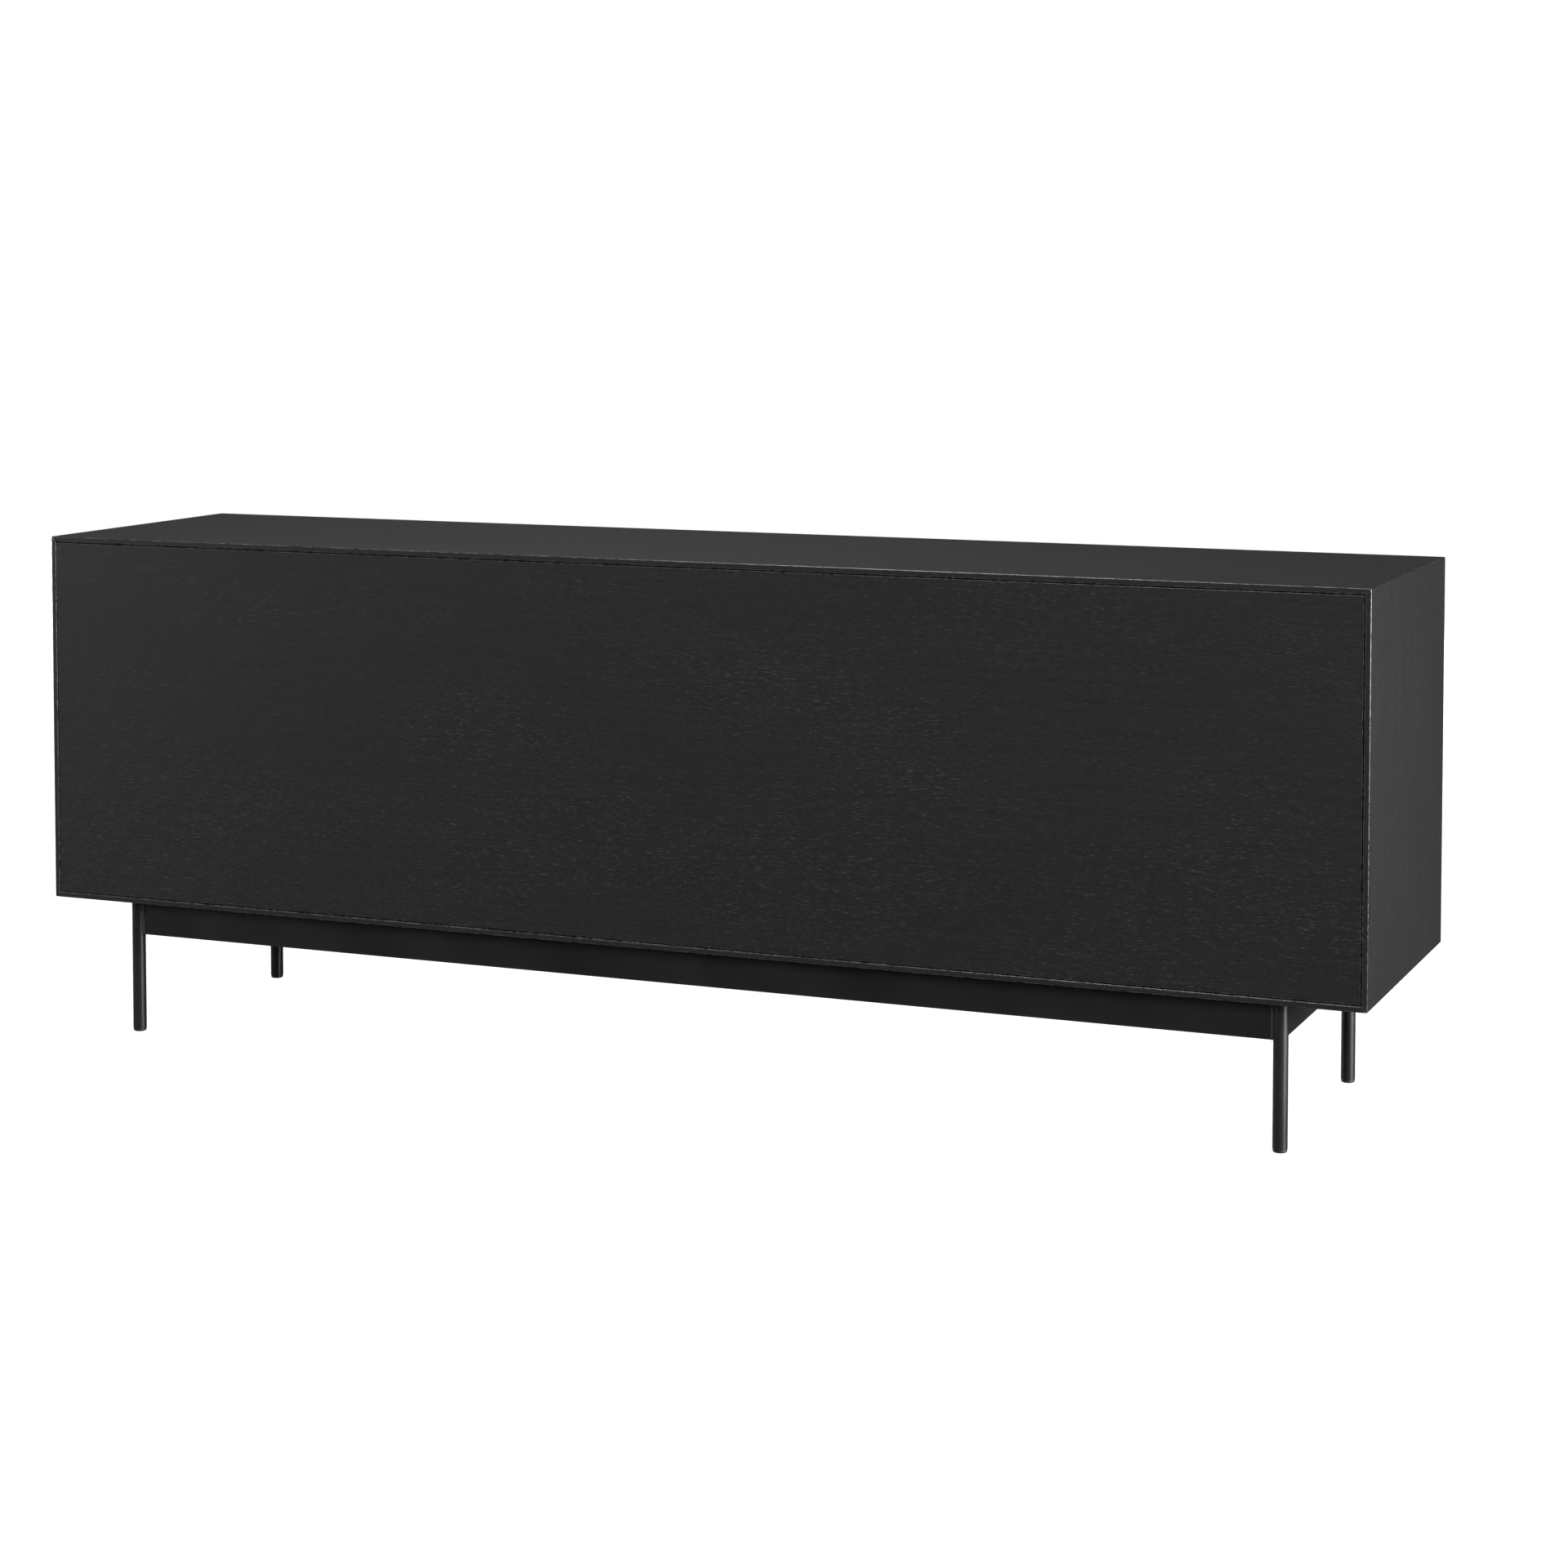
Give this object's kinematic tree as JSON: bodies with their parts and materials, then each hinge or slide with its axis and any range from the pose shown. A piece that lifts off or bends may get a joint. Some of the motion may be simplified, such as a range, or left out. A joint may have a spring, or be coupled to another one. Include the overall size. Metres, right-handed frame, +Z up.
{
  "type": "dresser",
  "caption": "Low, wide wooden dresser: mitred black case with handleless inset drawers and a flush back panel, on a recessed black steel base with round tube legs.",
  "frame": {"origin": "on the floor, under the middle of the case", "axes": "+X along the width, to the right of someone facing the drawers; the drawers open towards -Y and the back panel faces +Y; +Z up"},
  "size_m": [2, 0.472, 0.748],
  "materials": {
    "stained_oak": "black-stained oak veneer, satin lacquer",
    "black_steel": "black powder coat, satin",
    "drawer_beech": "clear-lacquered beech",
    "glide_plastic": "moulded",
    "birch_plywood": "clear-lacquered birch plywood",
    "charcoal_felt": "pressed wool felt",
    "steel_hardware": "zinc-plated"
  },
  "bodies": {
    "case": {"case_top": "stained_oak", "case_bottom": "stained_oak", "case_left": "stained_oak", "case_right": "stained_oak", "divider_left": "stained_oak", "divider_right": "stained_oak", "back_panel": "stained_oak", "leg_front_left": "black_steel", "leg_front_right": "black_steel", "leg_back_left": "black_steel", "leg_back_right": "black_steel", "rail_front": "black_steel", "rail_back": "black_steel", "rail_left": "black_steel", "rail_right": "black_steel", "strap_left": "black_steel", "strap_right": "black_steel", "runner_lower_left_left": "drawer_beech", "runner_lower_left_right": "drawer_beech", "runner_lower_middle_left": "drawer_beech", "runner_lower_middle_right": "drawer_beech", "runner_lower_right_left": "drawer_beech", "runner_lower_right_right": "drawer_beech", "runner_upper_left_left": "drawer_beech", "runner_upper_left_right": "drawer_beech", "runner_upper_middle_left": "drawer_beech", "runner_upper_middle_right": "drawer_beech", "runner_upper_right_left": "drawer_beech", "runner_upper_right_right": "drawer_beech"},
    "drawer_lower_left": {"drawer_lower_left_front": "stained_oak", "drawer_lower_left_side_left": "drawer_beech", "drawer_lower_left_side_right": "drawer_beech", "drawer_lower_left_bottom": "birch_plywood", "drawer_lower_left_back": "drawer_beech"},
    "drawer_lower_middle": {"drawer_lower_middle_front": "stained_oak", "drawer_lower_middle_side_left": "drawer_beech", "drawer_lower_middle_side_right": "drawer_beech", "drawer_lower_middle_bottom": "birch_plywood", "drawer_lower_middle_back": "drawer_beech"},
    "drawer_lower_right": {"drawer_lower_right_front": "stained_oak", "drawer_lower_right_side_left": "drawer_beech", "drawer_lower_right_side_right": "drawer_beech", "drawer_lower_right_bottom": "birch_plywood", "drawer_lower_right_back": "drawer_beech"},
    "drawer_upper_left": {"drawer_upper_left_front": "stained_oak", "drawer_upper_left_side_left": "drawer_beech", "drawer_upper_left_side_right": "drawer_beech", "drawer_upper_left_bottom": "birch_plywood", "drawer_upper_left_back": "drawer_beech"},
    "drawer_upper_middle": {"drawer_upper_middle_front": "stained_oak", "drawer_upper_middle_side_left": "drawer_beech", "drawer_upper_middle_side_right": "drawer_beech", "drawer_upper_middle_bottom": "birch_plywood", "drawer_upper_middle_back": "drawer_beech"},
    "drawer_upper_right": {"drawer_upper_right_front": "stained_oak", "drawer_upper_right_side_left": "drawer_beech", "drawer_upper_right_side_right": "drawer_beech", "drawer_upper_right_bottom": "birch_plywood", "drawer_upper_right_back": "drawer_beech"}
  },
  "joints": [
    {"name": "drawer_lower_left_slide", "type": "slide", "parent": "case", "child": "drawer_lower_left", "axis": [0, -1, 0], "range_m": [0, 0.3]},
    {"name": "drawer_lower_middle_slide", "type": "slide", "parent": "case", "child": "drawer_lower_middle", "axis": [0, -1, 0], "range_m": [0, 0.3]},
    {"name": "drawer_lower_right_slide", "type": "slide", "parent": "case", "child": "drawer_lower_right", "axis": [0, -1, 0], "range_m": [0, 0.3]},
    {"name": "drawer_upper_left_slide", "type": "slide", "parent": "case", "child": "drawer_upper_left", "axis": [0, -1, 0], "range_m": [0, 0.3]},
    {"name": "drawer_upper_middle_slide", "type": "slide", "parent": "case", "child": "drawer_upper_middle", "axis": [0, -1, 0], "range_m": [0, 0.3]},
    {"name": "drawer_upper_right_slide", "type": "slide", "parent": "case", "child": "drawer_upper_right", "axis": [0, -1, 0], "range_m": [0, 0.3]}
  ]
}
